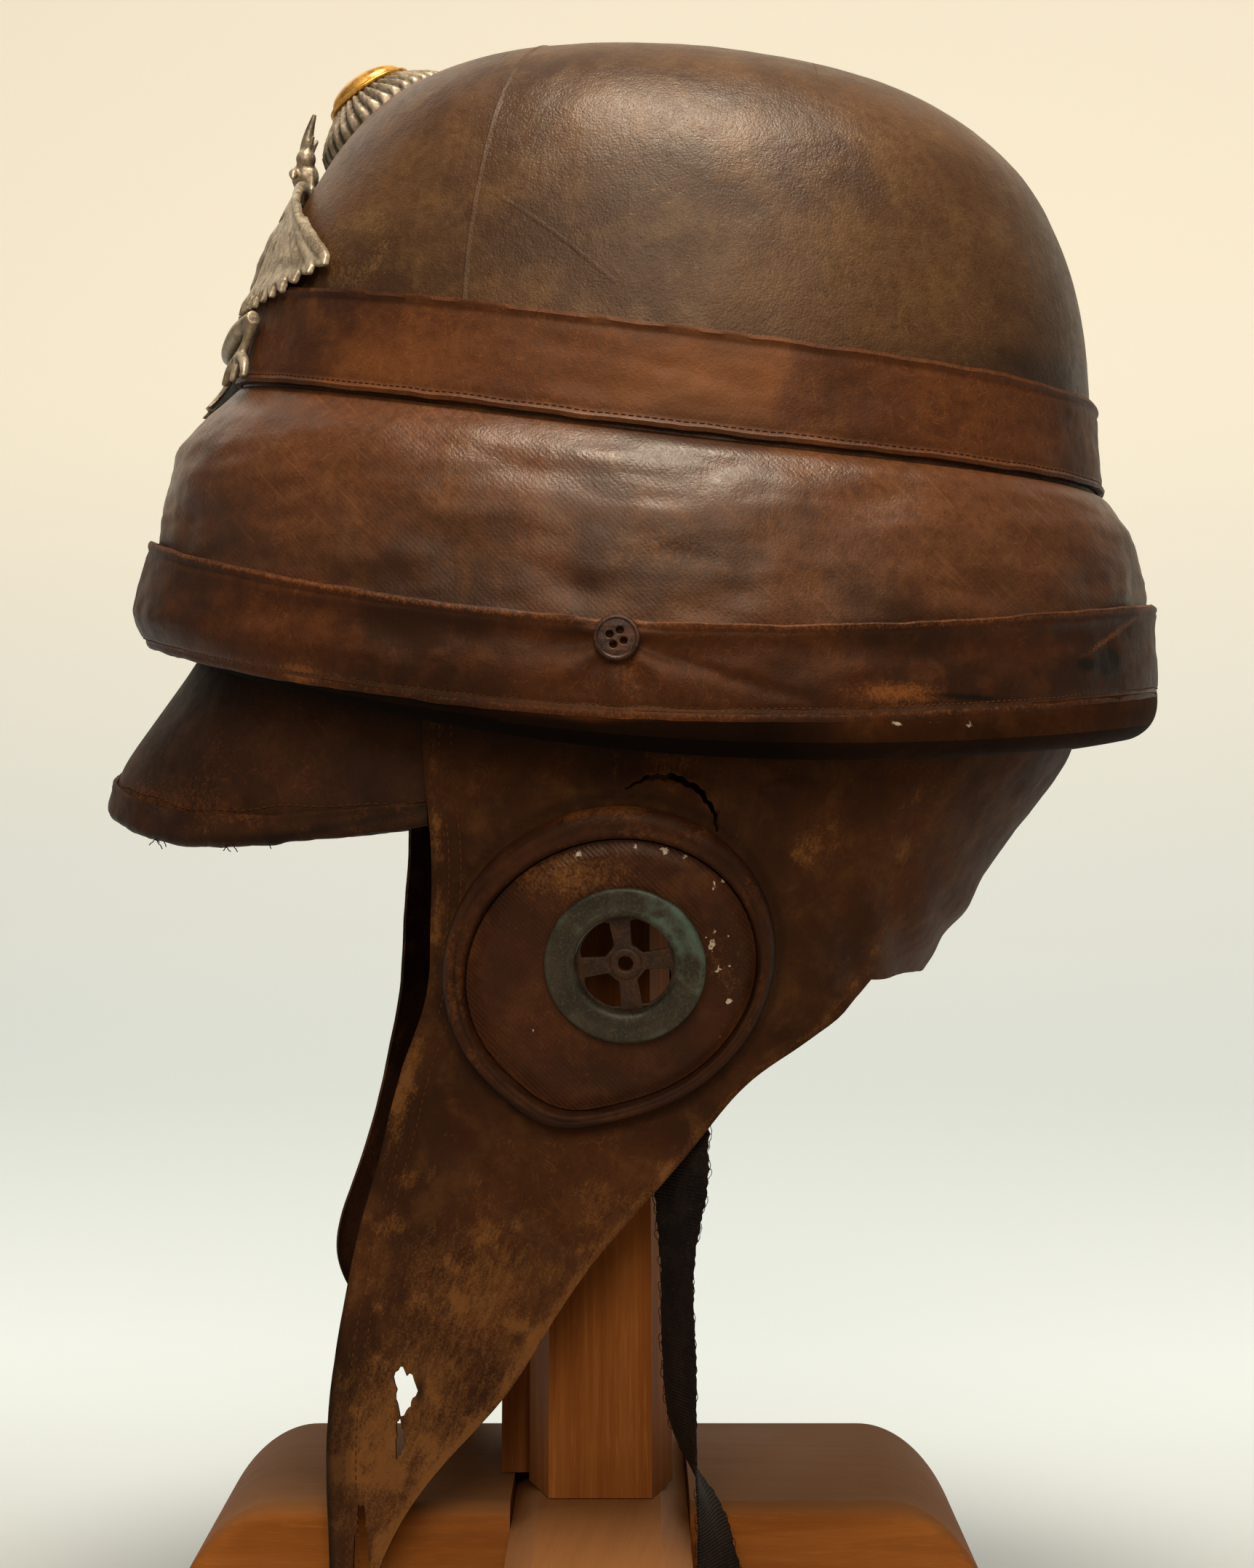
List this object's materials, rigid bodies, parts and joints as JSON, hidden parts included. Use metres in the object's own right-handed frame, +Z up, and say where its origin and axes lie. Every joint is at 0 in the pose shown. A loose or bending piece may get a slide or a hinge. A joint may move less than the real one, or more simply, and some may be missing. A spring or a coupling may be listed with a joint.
{
  "type": "flying helmet on a wooden stand",
  "caption": "Tall leather flying helmet with a padded roll, peak, long ear flaps and a metal badge, carried on a post with a crossed wooden foot.",
  "frame": {"origin": "on the surface the stand rests on, under the middle of the whole object's box", "axes": "+Z up, -Y the way the helmet faces, +X the wearer's left side, which the picture shows; the stand is turned 5 degrees about +Z"},
  "size_m": [0.2712, 0.3276, 0.5018],
  "materials": {
    "crown_leather": "worn greyish brown hide with a dull sheen",
    "band_leather": "reddish brown hide, worn tan along its edges",
    "roll_leather": "soft creased brown hide",
    "flap_leather": "thin dull reddish brown hide, rubbed and scratched",
    "ear_leather": "dull hide, padded at the welt",
    "verdigris_brass": "corroded, grey green",
    "button_iron": "dark brown, rusty",
    "badge_silver": "tarnished cast white metal",
    "gilt": "worn gilt",
    "ribbon_cloth": "frayed ribbed silk",
    "pine": "waxed orange brown pine"
  },
  "bodies": {
    "root": {"head_block": "pine", "crown": "crown_leather", "crown_band": "band_leather", "bumper": "roll_leather", "rim_band": "band_leather", "peak": "band_leather", "peak_binding": "band_leather", "eagle_badge": "badge_silver", "cockade_ring": "badge_silver", "cockade_boss": "gilt", "ribbon": "ribbon_cloth", "flap_left": "flap_leather", "flap_right": "flap_leather", "ear_ring_left": "ear_leather", "ear_ring_right": "ear_leather", "ear_roundel_left": "ear_leather", "ear_roundel_right": "ear_leather", "grommet_left": "verdigris_brass", "grommet_right": "verdigris_brass", "button_left": "button_iron", "button_right": "button_iron", "base_bar": "pine", "cross_bar": "pine", "post_front": "pine", "post_rear": "pine"}
  },
  "joints": []
}
